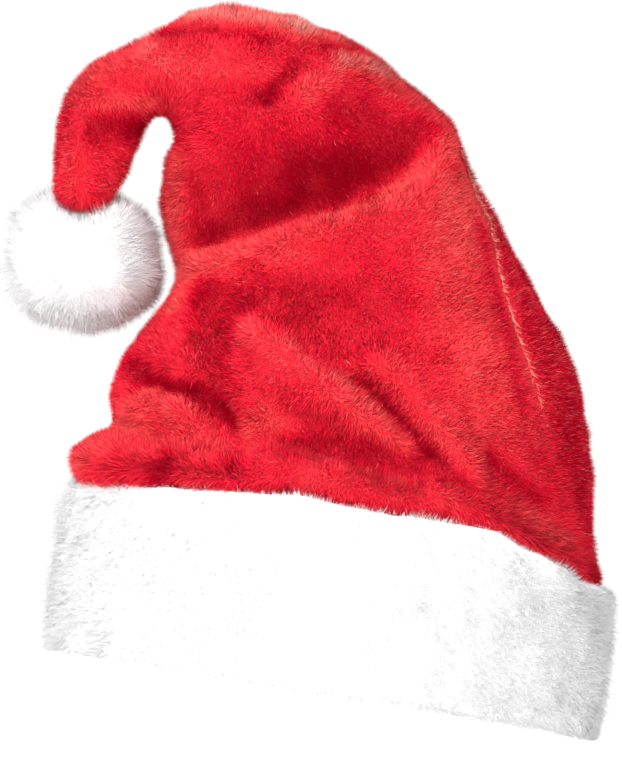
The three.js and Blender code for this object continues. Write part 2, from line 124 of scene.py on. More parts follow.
# %% Shader maths
class Channel:
    """A number that varies over a surface, with Python's operators."""

    def __init__(self, finish, socket):
        self.finish = finish
        self.socket = socket

    def maths(self, operation, *values):
        node = self.finish.node("Math", {"operation": operation}, dict(enumerate(values)))
        return Channel(self.finish, node.outputs[0])

    def __add__(self, other):
        return self.maths("ADD", self, other)

    def __mul__(self, other):
        return self.maths("MULTIPLY", self, other)

    def __rsub__(self, other):
        return self.maths("SUBTRACT", other, self)

    __radd__ = __add__
    __rmul__ = __mul__

    def ramp(self, low, high):
        """0 up to low, 1 from high on, and even in between."""
        settings = {"clamp": True}
        node = self.finish.node("MapRange", settings, {"Value": self, "From Min": low, "From Max": high})
        return Channel(self.finish, node.outputs[0])


class Finish:
    """A material in the making."""

    def __init__(self, name):
        self.material = bpy.data.materials.new(name)
        self.material.use_nodes = True
        self.tree = self.material.node_tree
        self.tree.nodes.clear()

    def node(self, kind, settings=None, inputs=None):
        made = self.tree.nodes.new("ShaderNode" + kind)
        for name, value in (settings or {}).items():
            setattr(made, name, value)
        for key, value in (inputs or {}).items():
            if isinstance(value, Channel):
                value = value.socket
            if isinstance(value, bpy.types.NodeSocket):
                self.tree.links.new(value, made.inputs[key])
            else:
                made.inputs[key].default_value = value
        return made

    def number(self, kind, settings=None, inputs=None, output=0):
        return Channel(self, self.node(kind, settings, inputs).outputs[output])

    def attribute(self, name):
        return self.number("Attribute", {"attribute_name": name}, output="Fac")

    def mix(self, share, first, second):
        """A colour between two others. A Mix node's colour sockets are its seventh and eighth."""
        inputs = {0: share, 6: first, 7: second}
        return self.node("Mix", {"data_type": "RGBA"}, inputs).outputs[2]

    def steady_normal(self):
        """The shading normal of a thin triangle, which isn't turned round where its back is seen."""
        geometry = self.node("NewGeometry")
        turned = 1 - 2 * Channel(self, geometry.outputs["Backfacing"])
        inputs = {0: geometry.outputs["Normal"], "Scale": turned}
        return self.node("VectorMath", {"operation": "SCALE"}, inputs).outputs[0]

    def surface(self, **inputs):
        named = {name.replace("_", " "): value for name, value in inputs.items()}
        shader = self.node("BsdfPrincipled", None, named)
        self.node("OutputMaterial", None, {"Surface": shader.outputs[0]})
        return self.material


# %% [markdown]
# Pile is painted darker at its root, as painted shade where little light gets in, and palest at its tip, as
# a painted highlight. So each fibre has the attribute "along", from 0 at its root to 1 at its tip. The
# second attribute holds the pile's tone together with painted light: low for painted shade, where the pile
# shows its deep saturated red, 1 for painted highlights, where the tips look coral, and more than 1 for
# painted glints, where single tips look almost white.
#
# A fibre lets light through, so it looks the same from both sides. A thin triangle doesn't, unless its
# normal is the same seen from the front or the back.

# %% Plush finishes
def opaque(red, green, blue):
    return (red, green, blue, 1)


def pile_finish(name, root, deep, middle, tip, pale, gloss):
    finish = Finish(name)
    along = finish.attribute("along")
    tone = finish.attribute("tone")
    # deep is the colour of painted shade, tip of painted highlights and pale of painted glints; root is
    # painted shade at the fibres' roots.
    body = finish.mix(tone.ramp(0, 0.5), deep, middle)
    lit = finish.mix(tone.ramp(0.4, 1), body, tip)
    shining = finish.mix(tone.ramp(1, 1.7), lit, pale)
    fibre = finish.mix(along.ramp(0.3, 0.9), body, shining)
    colour = finish.mix(along.ramp(0, 0.5), root, fibre)
    normal = finish.steady_normal()
    return finish.surface(Base_Color=colour, Roughness=0.75, Specular_IOR_Level=gloss, Normal=normal)


# The red's root and deep colours are painted shade, its tip and pale colours painted highlights and glints;
# its middle colour is the plush's own red.
red_pile = pile_finish(
    "red pile",
    root=opaque(0.66, 0, 0.02),
    deep=opaque(0.43, 0, 0.013),
    middle=opaque(0.97, 0.005, 0.043),
    tip=opaque(1, 0.115, 0.1),
    pale=opaque(1, 0.5, 0.42),
    gloss=0.03,
)
# The white's colours step only a little from the root's painted shade to the tip's painted highlight.
white_pile = pile_finish(
    "white pile",
    root=opaque(0.96, 0.95, 0.955),
    deep=opaque(0.97, 0.96, 0.965),
    middle=opaque(0.98, 0.975, 0.98),
    tip=opaque(0.99, 0.985, 0.99),
    pale=opaque(0.99, 0.985, 0.99),
    gloss=0.1,
)
thread_finish = pile_finish(
    "backing thread",
    root=opaque(0.95, 0.3, 0.22),
    deep=opaque(0.95, 0.3, 0.22),
    middle=opaque(0.98, 0.42, 0.3),
    tip=opaque(1, 0.62, 0.5),
    pale=opaque(1, 0.75, 0.65),
    gloss=0.2,
)


# %% [markdown]
# Between the fibres, and inside the hat, the backing shows: a fine knit, painted darker than the pile as
# painted shade for the deep gaps between the fibres. Two crossed waves give its ribs, as bump only, because
# they are less than half a millimetre deep. A Wave node of scale 1 has a band about every 0.314 metres, so
# the scale is that number over the width of a rib.

# %% Backing finish
BAND_AT_SCALE_1 = 0.314
RIB_WIDTH = 1.1 * MM
RIB_DEPTH = 0.4 * MM


def backing_finish(name, shade, light, ribbing):
    finish = Finish(name)
    place = finish.node("TexCoord").outputs["Object"]
    waves = 0
    for direction in ("X", "Z"):
        settings = {"wave_type": "BANDS", "bands_direction": direction}
        inputs = {"Vector": place, "Scale": BAND_AT_SCALE_1 / RIB_WIDTH, "Distortion": 1.5, "Detail": 1}
        waves = waves + finish.number("TexWave", settings, inputs, "Fac")
    mottle = finish.number("TexNoise", None, {"Vector": place, "Scale": 90, "Detail": 3}, "Fac")
    knit = finish.node("Bump", None, {"Strength": ribbing, "Distance": RIB_DEPTH, "Height": waves})
    colour = finish.mix((mottle + 0.15 * waves).ramp(0.35, 0.95), shade, light)
    return finish.surface(Base_Color=colour, Roughness=0.85, Normal=knit.outputs[0])


red_backing = backing_finish("red backing", opaque(0.5, 0, 0.014), opaque(0.6, 0, 0.018), ribbing=0.3)
white_backing = backing_finish(
    "white backing", opaque(0.93, 0.92, 0.93), opaque(0.95, 0.94, 0.95), ribbing=0.1
)

# %% [markdown]
# The cloth under the pile starts as a copy of each solid. The solids are made of flat facets, so the copy is
# remeshed into even small squares and then smoothed, which rounds every crease without moving the form.

# %% Cloth from a solid
def put(name, mesh, material):
    piece = bpy.data.objects.new(name, mesh)
    bpy.context.collection.objects.link(piece)
    mesh.materials.clear()
    mesh.materials.append(material)
    return piece


def cloth_from(node, name, material, square, rounds):
    """A smooth copy of a solid: square is the size of its faces, and rounds how often it is smoothed."""
    piece = put(name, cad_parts[node].data.copy(), material)
    shell = bmesh.new()
    shell.from_mesh(piece.data)
    bmesh.ops.remove_doubles(shell, verts=shell.verts, dist=0.001 * MM)
    shell.to_mesh(piece.data)
    remesh = piece.modifiers.new("even squares", "REMESH")
    remesh.mode = "VOXEL"
    remesh.voxel_size = square
    seen = piece.evaluated_get(bpy.context.evaluated_depsgraph_get())
    even = bpy.data.meshes.new_from_object(seen)
    piece.modifiers.clear()
    shell.clear()
    shell.from_mesh(even)
    all_ways = {"use_axis_x": True, "use_axis_y": True, "use_axis_z": True}
    for _ in range(rounds):
        bmesh.ops.smooth_vert(shell, verts=shell.verts, factor=0.5, **all_ways)
    shell.to_mesh(even)
    shell.free()
    piece.data = even
    even.name = name
    even.materials.clear()
    even.materials.append(material)
    even.shade_smooth()
    print(name, len(even.polygons), "squares")
    return piece


crown_cloth = cloth_from("crown", "crown_cloth", red_backing, square=2.3 * MM, rounds=5)
band_cloth = cloth_from("band", "band_cloth", white_backing, square=2.6 * MM, rounds=3)
pompom_core = cloth_from("pompom", "pompom_core", white_backing, square=2.6 * MM, rounds=12)


# %% [markdown]
# The pile stands only on the outside of the crown. Its outside is found as one would with a finger: start
# at the very top and walk over neighbouring faces, without crossing the hem, which is tucked deep inside
# the band.

# %% The crown's outside
HEM_LEVEL = 63 * MM


def outside_of(piece, barrier):
    """The numbers of the faces that can be reached from the topmost one without going below barrier."""
    shell = bmesh.new()
    shell.from_mesh(piece.data)
    shell.faces.ensure_lookup_table()
    middles = [face.calc_center_median() for face in shell.faces]
    start = max(range(len(middles)), key=lambda i: middles[i].z)
    reached = {start}
    edge_of_search = [start]
    while edge_of_search:
        face = shell.faces[edge_of_search.pop()]
        for edge in face.edges:
            for beside in edge.link_faces:
                if beside.index not in reached and middles[beside.index].z > barrier:
                    reached.add(beside.index)
                    edge_of_search.append(beside.index)
    shell.free()
    return np.array(sorted(reached))


crown_outside = outside_of(crown_cloth, HEM_LEVEL)
print("crown's outside:", len(crown_outside), "of", len(crown_cloth.data.polygons), "faces")

# %% [markdown]
# Many things on a plush hat wander: the brushing of its pile, the height of its tufts, the shade of its
# patches. All of them come from one smooth noise, which mixes random numbers at the corners of a grid.
# Its seed is fixed, so the hat is the same each time.

# %% Smooth noise
TABLE_SIZE = 4096
CORNER_STEPS = np.array([73856093, 19349663, 83492791])


def wander(places, size, seed):
    """A number from about -1 to 1 at each place, that changes smoothly over about the given size."""
    table = np.random.default_rng(seed).uniform(-1, 1, TABLE_SIZE)
    scaled = places / size
    cell = np.floor(scaled).astype(np.int64)
    part = scaled - cell
    ease = part * part * (3 - 2 * part)
    total = np.zeros(len(places))
    for corner in itertools.product((0, 1), repeat=3):
        weight = np.where(corner, ease, 1 - ease).prod(axis=1)
        total += weight * table[((cell + corner) @ CORNER_STEPS) % TABLE_SIZE]
    return total


def wander_vector(places, size, seed):
    return np.stack([wander(places, size, seed + axis) for axis in range(3)], axis=1)


def unit(vectors):
    return vectors / np.maximum(np.linalg.norm(vectors, axis=1, keepdims=True), 1e-9)


def away_from_head(places):
    """The level direction from the rim's middle to each place."""
    return unit((places - np.array(rim)) * np.array([1, 1, 0]))


# %% [markdown]
# A tuft of pile is one thin triangle, wide at its root and pointed at its tip. Roots are spread over chosen
# faces by their area and lie a little below the cloth, so no tuft seems to float.

# %% The ground that pile grows from
class Ground:
    """The chosen faces of a cloth, cut into triangles, from which roots are drawn."""

    def __init__(self, piece, faces=None):
        mesh = piece.data
        mesh.calc_loop_triangles()
        count = len(mesh.loop_triangles)
        corners = np.empty(count * 3, np.int32)
        mesh.loop_triangles.foreach_get("vertices", corners)
        polygon = np.empty(count, np.int32)
        mesh.loop_triangles.foreach_get("polygon_index", polygon)
        places = np.empty(len(mesh.vertices) * 3, np.float32)
        mesh.vertices.foreach_get("co", places)
        normals = np.empty(len(mesh.vertices) * 3, np.float32)
        mesh.vertices.foreach_get("normal", normals)
        self.corners = corners.reshape(-1, 3)
        if faces is not None:
            self.corners = self.corners[np.isin(polygon, faces)]
        self.places = places.reshape(-1, 3).astype(float)
        self.normals = normals.reshape(-1, 3).astype(float)

    def roots(self, count, keep, rng):
        """Places and normals of about count roots, among the triangles whose middle passes keep."""
        a, b, c = (self.places[self.corners[:, i]] for i in range(3))
        chosen = keep((a + b + c) / 3, self.normals[self.corners].mean(axis=1))
        corners = self.corners[chosen]
        a, b, c = a[chosen], b[chosen], c[chosen]
        area = np.linalg.norm(np.cross(b - a, c - a), axis=1) / 2
        ends = np.cumsum(area)
        picks = np.searchsorted(ends, (np.arange(count) + rng.random(count)) / count * ends[-1])
        picks = np.minimum(picks, len(ends) - 1)
        u, v = rng.random((2, count))
        u, v = np.where(u + v > 1, 1 - u, u)[:, None], np.where(u + v > 1, 1 - v, v)[:, None]
        places = a[picks] * (1 - u - v) + b[picks] * u + c[picks] * v
        n = self.normals[corners[picks]]
        normals = unit(n[:, 0] * (1 - u - v) + n[:, 1] * u + n[:, 2] * v)
        print("   area", round(ends[-1] * 1e4), "cm2,", round(count / (ends[-1] * 1e4)), "tufts to a cm2")
        return places, normals


# %% [markdown]
# All tufts of a piece are one mesh. An operator for each tuft would take minutes, so the mesh is filled from
# arrays: the places of the corners, the two attributes that the finish reads, a map with a cell for each
# triangle, and the normals. A tuft is mostly shaded by the normal of the cloth under it, because thousands
# of crossing slivers, each shaded by its own normal, would look like glitter and not like plush.

# %% A mesh of tufts
CELL_CORNERS = np.array([(0.1, 0.1), (0.9, 0.1), (0.5, 0.9)])


def add_cells(mesh, count):
    """Gives each triangle a cell of its own in the map named OFBake."""
    side = math.ceil(math.sqrt(count))
    number = np.arange(count)
    cell = np.stack([number % side, number // side], axis=1)[:, None, :]
    layer = mesh.uv_layers.new(name="OFBake")
    layer.uv.foreach_set("vector", ((cell + CELL_CORNERS) / side).astype(np.float32).ravel())


def tufts(name, material, roots, tips, across, tone, normals, soft, light):
    """One mesh of thin triangles, one for each row of the arrays. soft is how far a triangle is shaded by
    the normals in light, and not by its own."""
    count = len(roots)
    own = unit(np.cross(across, tips - roots))
    side = np.where((own * normals).sum(axis=1, keepdims=True) < 0, -1, 1)
    across = across * side
    shading = unit(own * side * (1 - soft) + light * soft)
    places = np.stack([roots - across, roots + across, tips], axis=1).reshape(-1, 3)
    mesh = bpy.data.meshes.new(name)
    mesh.vertices.add(count * 3)
    mesh.vertices.foreach_set("co", places.astype(np.float32).ravel())
    mesh.loops.add(count * 3)
    mesh.loops.foreach_set("vertex_index", np.arange(count * 3, dtype=np.int32))
    mesh.polygons.add(count)
    mesh.polygons.foreach_set("loop_start", np.arange(0, count * 3, 3, dtype=np.int32))
    mesh.update(calc_edges=True)
    along = mesh.attributes.new("along", "FLOAT", "POINT")
    along.data.foreach_set("value", np.tile(np.array([0, 0, 1], np.float32), count))
    shade = mesh.attributes.new("tone", "FLOAT", "POINT")
    shade.data.foreach_set("value", np.repeat(tone.astype(np.float32), 3))
    add_cells(mesh, count)
    mesh.normals_split_custom_set_from_vertices(np.repeat(shading, 3, axis=0))
    print(name, count, "tufts")
    return put(name, mesh, material)


# %% [markdown]
# Each tuft stands up from the cloth, leans the way its patch is combed, and is pushed aside by the smooth
# noise, at several sizes, so that the pile parts into locks. It is rolled about its own axis so that
# neighbours catch the light differently. A tip that would go through the floor ends a little above it, each
# at a height of its own, or the foot of the hat would look cut with a knife.

# %% Planting pile
SHORTEST, LONGEST = 0.75, 1.15
LOW_TIPS = (0.2, 3)
OFF_FLOOR = 0.1 * MM
MOST_ROLL = 0.8
UNEVEN_OVER = 9 * MM


def evenly(value):
    """A kind's entry that is the same for all its tufts."""
    return lambda places, normals: np.full(len(places), value)


def grow_pile(name, material, ground, keep, count, kind, seed):
    """Plants count tufts. kind holds the pile's sizes, and functions of the roots' places and normals: its
    length, combing, tone with painted light and share of tips with painted glints, and for some kinds which
    roots stay (only) and the normals that they are lit by (light)."""
    rng = np.random.default_rng(seed)
    roots, normals = ground.roots(count, keep, rng)
    if "only" in kind:
        chosen = kind["only"](roots, normals)
        roots, normals = roots[chosen], normals[chosen]
        count = len(roots)
    comb = kind["comb"](roots, normals)
    for size, share in kind["ruffles"]:
        comb = comb + share * wander_vector(roots, size, seed=round(size / MM))
    comb = comb - (comb * normals).sum(axis=1, keepdims=True) * normals
    stray = kind["stray"] * rng.normal(size=(count, 3))
    standing = unit(normals * kind["upright"] + comb + stray)
    length = kind["length"](roots, normals) * rng.uniform(SHORTEST, LONGEST, count)
    length *= 1 + kind["uneven"] * wander(roots, UNEVEN_OVER, 5)
    start = roots - normals * kind["sunk"]
    tips = start + standing * length[:, None]
    tips[:, 2] = np.maximum(tips[:, 2], rng.uniform(*LOW_TIPS, count) * MM)
    start[:, 2] = np.maximum(start[:, 2], OFF_FLOOR)
    flat = unit(np.cross(standing, normals))
    roll = rng.uniform(-MOST_ROLL, MOST_ROLL, count)[:, None]
    across = flat * np.cos(roll) + np.cross(standing, flat) * np.sin(roll)
    tone = np.clip(kind["tone"](roots, normals) + rng.normal(0, kind["speckle"], count), 0, 2)
    # A share of the tips gets painted glints: their tone goes up by 1, which turns them pale.
    tone += rng.random(count) < kind["painted_glints"](roots, normals)
    light = kind["light"](roots, normals) if "light" in kind else normals
    return tufts(name, material, start, tips, across * kind["width"] / 2, tone, normals, kind["soft"], light)


# %% [markdown]
# The front of the crown has soft creases, ridges between them, and lighter and darker patches of pile. Each
# is one stroke of the front view: where it starts and ends and half its width in millimetres, how it shifts
# the pile's tone with painted light (painted shade where it is below 0, in the creases, the pocket and the
# dark patches, and painted highlights where it is above 0, on the ridges, the lip, the crest and the light
# patches), and by how many millimetres it raises or sinks the cloth.

# %% Strokes over the crown's front
Stroke = namedtuple("Stroke", "x z to_x to_z wide tone rise")
LIP = [
    Stroke(-95, 157, -79, 166, 4, 0.35, 0.5),
    Stroke(-79, 166, -30, 191, 4, 0.45, 1),
    Stroke(-30, 191, -2, 207, 4, 0.45, 1),
    Stroke(-2, 207, 13, 231, 5, 0.4, 1),
]
POCKET = [
    Stroke(-75, 181, -61, 191, 5, -0.5, 0),
    Stroke(-61, 191, -28, 206, 6, -0.7, 0),
    Stroke(-43, 214, -4, 224, 9, -0.75, 0),
    Stroke(-33, 238, 5, 235, 8, -0.4, 0),
    Stroke(-66, 234, -62, 205, 14, -0.35, 0),
    Stroke(-92, 208, -88, 176, 4, 0.4, 0.5),
    Stroke(-84, 200, -78, 180, 4, -0.3, 0),
]
CREST = [
    Stroke(-98, 268, -52, 271, 5, 0.8, 1),
    Stroke(-52, 271, -20, 267, 5, 0.8, 1),
    Stroke(-114, 255, -87, 263, 2.5, -0.55, -3),
    Stroke(-87, 263, -66, 263, 2.5, -0.5, -2),
    Stroke(-138, 234, -110, 249, 6, 0.35, 0.5),
    Stroke(-110, 249, -62, 250, 6, 0.35, 0.5),
    Stroke(-61, 240, -52, 254, 4.5, -0.75, -2),
    Stroke(-48, 243, -37, 254, 6, 0.4, 0.5),
    Stroke(-34, 259, -10, 258, 4, 0.8, 1),
    Stroke(-42, 263, -18, 265, 2, -0.65, -2.5),
    Stroke(-13, 252, 12, 241, 6, 0.35, 0),
]
TAIL = [
    Stroke(-138, 225, -126, 229, 3.5, 0.4, 1.5),
    Stroke(-126, 229, -108, 230, 3.5, 0.4, 1.5),
    Stroke(-129, 215, -112, 218, 6, -0.65, -3),
    Stroke(-138, 213, -134, 190, 4, 0.3, 0),
]
FRONT_PANEL = [
    Stroke(-84, 148, -77, 166, 4.5, 0.4, 0.5),
    Stroke(-79, 168, -66, 166, 6, 0.3, 0),
    Stroke(-69, 156, -28, 165, 8, -0.25, 0),
    Stroke(-44, 176, -36, 178, 6, 0.35, 0),
    Stroke(-71, 156, -62, 120, 7, -0.5, -1),
    Stroke(-52, 144, -39, 138, 4.5, 0.45, 1.5),
    Stroke(-39, 138, -14, 126, 4.5, 0.45, 1.5),
    Stroke(-14, 126, 18, 107, 5, 0.45, 1.5),
    Stroke(-5, 131, 28, 107, 3, -0.75, -2.5),
    Stroke(28, 107, 47, 94, 3, -0.5, -2),
    Stroke(5, 140, 44, 105, 5, 0.3, 1),
    Stroke(-48, 156, 2, 157, 11, -0.25, 0),
    Stroke(15, 205, 48, 125, 18, 0.4, 0),
    Stroke(33, 200, 62, 130, 3, -0.3, -0.5),
    Stroke(52, 110, 74, 95, 4, -0.5, -2),
    Stroke(66, 92, 86, 82, 4, 0.3, 0.5),
]
ABOVE_BAND = [
    Stroke(-101, 125, -92, 118, 5, -0.5, -1.5),
    Stroke(-92, 118, -72, 115, 4, -0.75, -2.5),
    Stroke(-72, 115, -57, 109, 4.5, -0.75, -3),
    Stroke(-57, 109, -51, 103, 4, -0.7, -2.5),
    Stroke(-99, 92, -93, 104, 4, 0.2, 1.5),
    Stroke(-93, 104, -86, 110, 4, 0.45, 2),
    Stroke(-86, 110, -75, 107, 4.5, 0.45, 2),
    Stroke(-75, 107, -65, 102, 4.5, 0.4, 2),
    Stroke(-46, 104, -40, 110, 4, 0.45, 2),
    Stroke(-40, 110, -30, 108, 4, 0.4, 1.5),
    Stroke(-92, 95, -50, 94, 9, 0.15, 0),
    Stroke(-27, 104, 22, 100, 5.5, -0.45, -1),
    Stroke(-113, 80, -104, 86, 5, 0.4, 1.5),
    Stroke(-80, 81, -76, 84, 4, -0.6, -0.5),
    Stroke(-53, 88, -49, 90, 4, -0.35, 0),
    Stroke(-20, 90, 40, 90, 5, 0.2, 0),
]
STROKES = LIP + POCKET + CREST + TAIL + FRONT_PANEL + ABOVE_BAND
print(len(STROKES), "strokes")

# %% [markdown]
# A stroke has to land where the front view shows it, and the camera is near enough for that to matter: what
# bulges towards it looks larger and further from the middle. So each place is first moved along its line of
# sight to the upright plane through the rim's middle, and measured there.

# %% Where the front view shows a place
def as_seen(places):
    """Millimetres right of the rim's middle and above the floor, where the front view shows each place."""
    nearer = camera_away / (camera_away + places[:, 1])
    across = target.x - rim.x + (places[:, 0] - target.x) * nearer
    height = camera_height + (places[:, 2] - camera_height) * nearer
    return across / MM, height / MM


def off_line(places, x, z, to_x, to_z):
    """How many millimetres each place is from a line of the front view, and on which side of it."""
    across, height = as_seen(places)
    across, height = across - x, height - z
    run, rise = to_x - x, to_z - z
    share = np.clip((across * run + height * rise) / (run**2 + rise**2), 0, 1)
    off = np.hypot(across - share * run, height - share * rise)
    return off, np.sign(across * rise - height * run)


def front_of(normals):
    """1 on the hat's front, and 0 from where it turns to the back."""
    return np.clip(-normals[:, 1] * 3, 0, 1)


def strokes_at(places, normals, what):
    total = np.zeros(len(places))
    for stroke in STROKES:
        off, _ = off_line(places, *stroke[:4])
        total += getattr(stroke, what) * np.exp(-((off / stroke.wide) ** 2))
    return total * front_of(normals)


# %% [markdown]
# A seam runs down the right, where the front panel meets the side panel. It is a chain of such lines. Its
# groove shows in the upper part. Lower down the pile closes over it, so it fades out between two heights.

# %% The seam of the side panel
SEAM = [(20, 230), (29, 214), (38, 200), (43, 185), (49, 173), (57, 158), (66, 141), (80, 110), (95, 78)]
SEAM_FADES, SEAM_SHOWS = 105, 145
GROOVE_WIDE, GROOVE_DEEP = 2.5, 1.8


def off_seam(places):
    """Millimetres from the seam of the side panel, less than 0 on the front panel's side."""
    found = [off_line(places, *low, *high) for low, high in zip(SEAM, SEAM[1:])]
    off = np.stack([pair[0] for pair in found])
    nearest = off.argmin(axis=0)
    side = np.stack([pair[1] for pair in found])[nearest, np.arange(len(places))]
    return off.min(axis=0) * -side


def seam_share(places, normals):
    """1 in the seam's groove, and 0 away from it and where it fades out near the band."""
    _, height = as_seen(places)
    shown = np.clip((height - SEAM_FADES) / (SEAM_SHOWS - SEAM_FADES), 0, 1)
    return np.exp(-((off_seam(places) / GROOVE_WIDE) ** 2)) * shown * front_of(normals)


print("seam of", len(SEAM) - 1, "straight parts")

# %% [markdown]
# The cloth's outline isn't quite that of the solids, because the pile adds to it everywhere. So the cloth is
# pulled where the hat bulges or is drawn in, and then let in a little all over. A pull moves all cloth near
# a line of the front view by some millimetres, crown and band alike, so the two stay together. Last, the
# cloth gets small soft lumps, as plush has, and the strokes and the seam. A cloth simulation would settle
# the folds where it likes. Moving the vertices puts each fold where it belongs.

# %% Pull the cloth into shape
Pull = namedtuple("Pull", "x z to_x to_z wide across up")
PULLS = [
    Pull(-11, 259, -9, 259, 11, -1.2, -1.6),
    Pull(29, 214, 52, 192, 12, -0.8, -0.5),
    Pull(52, 192, 86, 130, 15, -1.6, 0),
    Pull(86, 130, 104, 85, 16, -1.8, 0),
    Pull(104, 73, 108, 71, 22, -0.5, -6.5),
    Pull(113, 60, 115, 58, 18, -2, -1),
    Pull(-119, 72, -117, 74, 8, -2, 9),
    Pull(-123, 60, -121, 59, 9, -3, 0),
    Pull(-92, 190, -91, 170, 8, -2.5, 0),
    Pull(-80, 275, -76, 275, 22, 0, 1.5),
    Pull(-139, 238, -137, 239, 9, 1.2, -1.2),
    Pull(-50, 274, -48, 274, 12, 0, -1),
    Pull(-92, 135, -102, 101, 12, -1.8, 0),
    Pull(-115, 82, -113, 82, 8, -1.5, 0),
    Pull(-125, 184, -121, 184, 14, 0, -2.5),
    Pull(52, 81, 56, 80, 14, 0, 2.5),
    Pull(-27, 82, -24, 82, 14, 0, 1.8),
]
LARGE_LUMPS, SMALL_LUMPS = 15 * MM, 6 * MM


def shape_cloth(piece, faces, let_in, lumps, strokes=False):
    """Pulls the whole piece into shape, and then moves the vertices of the given faces along their normals:
    inwards by let_in millimetres, by lumps of about that height, and by the strokes and the seam."""
    mesh = piece.data
    chosen = np.arange(len(mesh.vertices))
    if faces is not None:
        chosen = np.unique([v for f in faces for v in mesh.polygons[f].vertices])
    places = np.empty(len(mesh.vertices) * 3, np.float32)
    normals = np.empty_like(places)
    mesh.vertices.foreach_get("co", places)
    mesh.vertices.foreach_get("normal", normals)
    everywhere = places.reshape(-1, 3)
    here = everywhere.astype(float)
    for pull in PULLS:
        off, _ = off_line(here, *pull[:4])
        share = np.exp(-((off / pull.wide) ** 2))[:, None]
        everywhere += (share * np.array([pull.across, 0, pull.up]) * MM).astype(np.float32)
    here, out = everywhere[chosen].astype(float), normals.reshape(-1, 3)[chosen].astype(float)
    rise = lumps * (wander(here, LARGE_LUMPS, 41) + 0.5 * wander(here, SMALL_LUMPS, 42)) - let_in
    if strokes:
        rise += strokes_at(here, out, "rise") - GROOVE_DEEP * seam_share(here, out)
    everywhere[chosen] += (out * rise[:, None] * MM).astype(np.float32)
    everywhere[:, 2] = np.maximum(everywhere[:, 2], OFF_FLOOR)
    mesh.vertices.foreach_set("co", everywhere.ravel())
    mesh.update()


POMPOM_SHIFT = Vector((-3.6, 0, -0.6)) * MM
shape_cloth(crown_cloth, crown_outside, let_in=0.4, lumps=0.5, strokes=True)
shape_cloth(band_cloth, None, let_in=0.8, lumps=0.8)
shape_cloth(pompom_core, None, let_in=0, lumps=1.8)
pompom_core.data.transform(Matrix.Translation(POMPOM_SHIFT))
print(len(PULLS), "pulls")

# %% [markdown]
# The crown's pile is short, dense and nearly upright. Along the seam it is trapped by the stitches, so it is
# shorter there. Over the band it is brushed down, further in some places than in others, so that it hides
# where the cloth goes in.

# %% Where the crown goes into the band
BAND_RISE = 7 * MM
HEM_REACH = 14 * MM


def above_band(places):
    """How far each place is above the band's top edge, which is a little higher in front and behind."""
    turn = np.arctan2(places[:, 1] / band_half.y, (places[:, 0] - rim.x) / band_half.x)
    return places[:, 2] - (band_high.z - BAND_RISE * np.cos(turn) ** 2)


def hem_share(places):
    """1 at the band's top edge and below, and 0 from a little above it."""
    return np.clip(1 - above_band(places) / HEM_REACH, 0, 1)


def hem_fringe(places):
    """1 where the red pile hangs far over the band, and 0 where the white pile stands up against it."""
    return np.clip(0.5 + 0.9 * wander(places, 17 * MM, 51), 0, 1)


# %% [markdown]
# The tone is even but for a soft wandering, the painted shade and highlights of the strokes, and the side
# panel, which is painted darker as painted shade and has painted glints on single pale tips. Only the crest,
# where one sees the pile from the side, may get pale painted highlights: lower down the tone stops before it
# turns pale.

# %% The crown's pile
SIDE_PANEL_EDGE = 5
CREST_FROM = 243
SHINING, NOT_PALE = 1.6, 0.9


def side_panel_share(places, normals):
    return np.clip(off_seam(places) / SIDE_PANEL_EDGE, 0, 1) * front_of(normals)


def crown_tone_and_painted_light(places, normals):
    tone = 0.5 + 0.12 * wander(places, 24 * MM, 11) + 0.08 * wander(places, 7 * MM, 12)
    # The strokes add painted shade and painted highlights, and the side panel is darkened as painted shade.
    tone = tone + strokes_at(places, normals, "tone") - 0.3 * side_panel_share(places, normals)
    _, height = as_seen(places)
    return np.minimum(tone, np.where(height > CREST_FROM, SHINING, NOT_PALE))


def crown_painted_glints(places, normals):
    # Painted glints: a few everywhere, and more on the side panel.
    return 0.005 + 0.06 * side_panel_share(places, normals)


def crown_comb(places, normals):
    hem = hem_share(places)[:, None]
    down = (0.4 + 1.6 * hem_fringe(places))[:, None] * np.array([0, 0, 1])
    return np.array([0.3, 0, -0.3]) * (1 - hem) + (0.8 * away_from_head(places) - down) * hem


def crown_length(places, normals):
    return 5.2 * MM * (1 - 0.45 * seam_share(places, normals)) * (1 + hem_share(places) * hem_fringe(places))


CROWN_PILE = {
    "length": crown_length,
    "width": 0.4 * MM,
    "sunk": 2 * MM,
    "upright": 2,
    "uneven": 0.25,
    "stray": 0.5,
    "speckle": 0.2,
    "painted_glints": crown_painted_glints,
    "soft": 0.75,
    "ruffles": [(28 * MM, 0.3), (9 * MM, 0.2), (3.5 * MM, 0.3)],
    "comb": crown_comb,
    "tone": crown_tone_and_painted_light,
}

# %% [markdown]
# A piece has to stay under 200,000 triangles, so the crown's pile is grown as four: the front's lower and
# upper part, the back, and the tail. None is planted where the cloth is inside the band and can't be seen.

# %% Grow the crown's pile
TAIL_STARTS = rim.x - 100 * MM
FRONT_SPLIT = 150 * MM
BAND_THICK = 12
OUT_OF_BAND = 68 * MM
hem_half = band_half - Vector((BAND_THICK, BAND_THICK, 0)) * MM


def free_of_band(middles):
    """True where the crown has come out of the band."""
    spread = ((middles[:, 0] - rim.x) / hem_half.x) ** 2 + (middles[:, 1] / hem_half.y) ** 2
    return (spread > 1) | (middles[:, 2] > OUT_OF_BAND)


